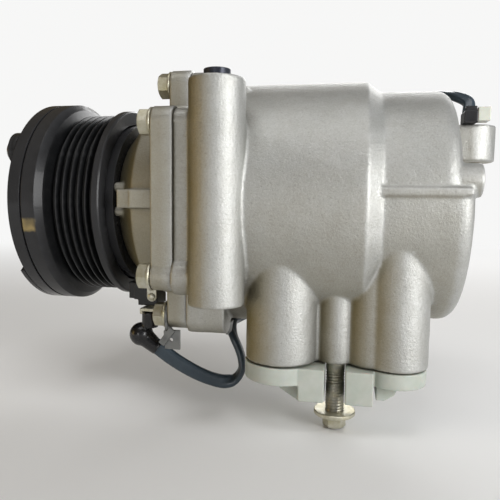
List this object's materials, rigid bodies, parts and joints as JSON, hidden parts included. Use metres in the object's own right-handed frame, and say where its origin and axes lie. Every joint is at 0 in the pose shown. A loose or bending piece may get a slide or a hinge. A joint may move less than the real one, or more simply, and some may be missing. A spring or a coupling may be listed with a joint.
{
  "type": "automotive ac compressor",
  "caption": "Belt-driven scroll compressor for car air conditioning, with grooved pulley, magnetic clutch, cast aluminium housings, mounting bosses and capped hose ports.",
  "frame": {"origin": "on the shaft axis, in the middle plane of the belt track", "axes": "+X along the shaft from the pulley to the rear of the compressor, +Z along the mounting bolts towards their bushes, +Y away from the side that carries the hose ports"},
  "size_m": [0.2222, 0.1298, 0.155],
  "materials": {
    "cast_aluminium": "rough sand-cast, matte",
    "machined_aluminium": "fine machined",
    "black_steel": "satin black coating",
    "bright_steel": "ground steel",
    "zinc_plate": "yellow zinc plate, satin",
    "black_rubber": "matte rubber",
    "damper_rubber": "matte brown-black rubber",
    "copper": "enamelled copper wire in resin",
    "black_plastic": "moulded, slightly glossy",
    "natural_plastic": "unfilled nylon",
    "cap_plastic": "pale moulded plastic",
    "lead_sheath": "blue-black vinyl sheath",
    "dark_bush": "phosphated steel",
    "dark_stud": "oiled dark steel",
    "tip_seal": "filled PTFE"
  },
  "bodies": {
    "root": {"pulley_bearing_inner": "bright_steel", "pulley_snap_ring": "bright_steel", "coil_housing": "black_steel", "coil_winding": "copper", "coil_snap_ring": "bright_steel", "coil_terminal": "black_plastic", "terminal_clip": "zinc_plate", "terminal_screw": "zinc_plate", "boot_bracket": "zinc_plate", "lead_boot": "black_rubber", "coil_lead": "lead_sheath", "lead_bracket": "bright_steel", "lead_clips": "bright_steel", "lead_connector": "black_plastic", "connector_lock": "natural_plastic", "front_housing": "cast_aluminium", "housing_bolts": "zinc_plate", "housing_seal_ring": "black_rubber", "shaft_seal": "black_rubber", "seal_snap_ring": "bright_steel", "nose_bearing": "bright_steel", "main_bearing_outer": "bright_steel", "guide_pins": "bright_steel", "thrust_plate": "bright_steel", "fixed_scroll": "machined_aluminium", "fixed_tip_seal": "tip_seal", "scroll_seal_ring": "black_rubber", "reed_stop": "bright_steel", "reed_screw": "bright_steel", "main_housing": "cast_aluminium", "mount_bushes": "dark_bush", "port_stud": "dark_stud", "stud_nut": "zinc_plate", "suction_cap": "cap_plastic", "discharge_cap": "cap_plastic", "cap_gaskets": "black_rubber"},
    "pulley": {"pulley": "black_steel", "pulley_bearing_outer": "bright_steel", "pulley_bearing_seals": "damper_rubber"},
    "pulley_balls": {"pulley_bearing_balls": "bright_steel"},
    "shaft": {"clutch_bolt": "zinc_plate", "hub_plate": "black_steel", "damper_pads": "damper_rubber", "gap_shims": "bright_steel", "crankshaft": "bright_steel", "main_bearing_inner": "bright_steel", "counterweight": "bright_steel", "drive_bush": "bright_steel"},
    "armature": {"armature_plate": "black_steel", "damper_rivets": "bright_steel"},
    "main_balls": {"main_bearing_balls": "bright_steel"},
    "orbiter": {"orbiting_scroll": "machined_aluminium", "orbiting_tip_seal": "tip_seal", "guide_rings": "bright_steel", "orbit_bearing": "bright_steel"},
    "reed": {"discharge_reed": "bright_steel"}
  },
  "joints": [
    {"name": "pulley_turn", "type": "hinge", "parent": "root", "child": "pulley", "pos_m": [0, 0, 0], "axis": [1, 0, 0], "continuous": true},
    {"name": "pulley_balls_roll", "type": "hinge", "parent": "root", "child": "pulley_balls", "pos_m": [0, 0, 0], "axis": [1, 0, 0], "continuous": true},
    {"name": "shaft_turn", "type": "hinge", "parent": "root", "child": "shaft", "pos_m": [0.05, 0, 0], "axis": [1, 0, 0], "continuous": true},
    {"name": "main_balls_roll", "type": "hinge", "parent": "root", "child": "main_balls", "pos_m": [0.05, 0, 0], "axis": [1, 0, 0], "continuous": true},
    {"name": "armature_pull", "type": "slide", "parent": "shaft", "child": "armature", "axis": [1, 0, 0], "range_m": [0, 0.00045], "stiffness_N_per_m": 20000},
    {"name": "orbit_turn", "type": "hinge", "parent": "shaft", "child": "orbiter", "pos_m": [0.067, 0, 0.005], "axis": [1, 0, 0], "continuous": true},
    {"name": "reed_lift", "type": "hinge", "parent": "root", "child": "reed", "pos_m": [0.1142, 0.0175, 0], "axis": [0, 0, 1], "range_deg": [0, 8], "stiffness_Nm_per_rad": 0.5}
  ],
  "couplings": [
    {"joint": "pulley_balls_roll", "follows": "pulley_turn", "ratio": 0.56118},
    {"joint": "main_balls_roll", "follows": "shaft_turn", "ratio": 0.39783},
    {"joint": "orbit_turn", "follows": "shaft_turn", "ratio": -1}
  ]
}
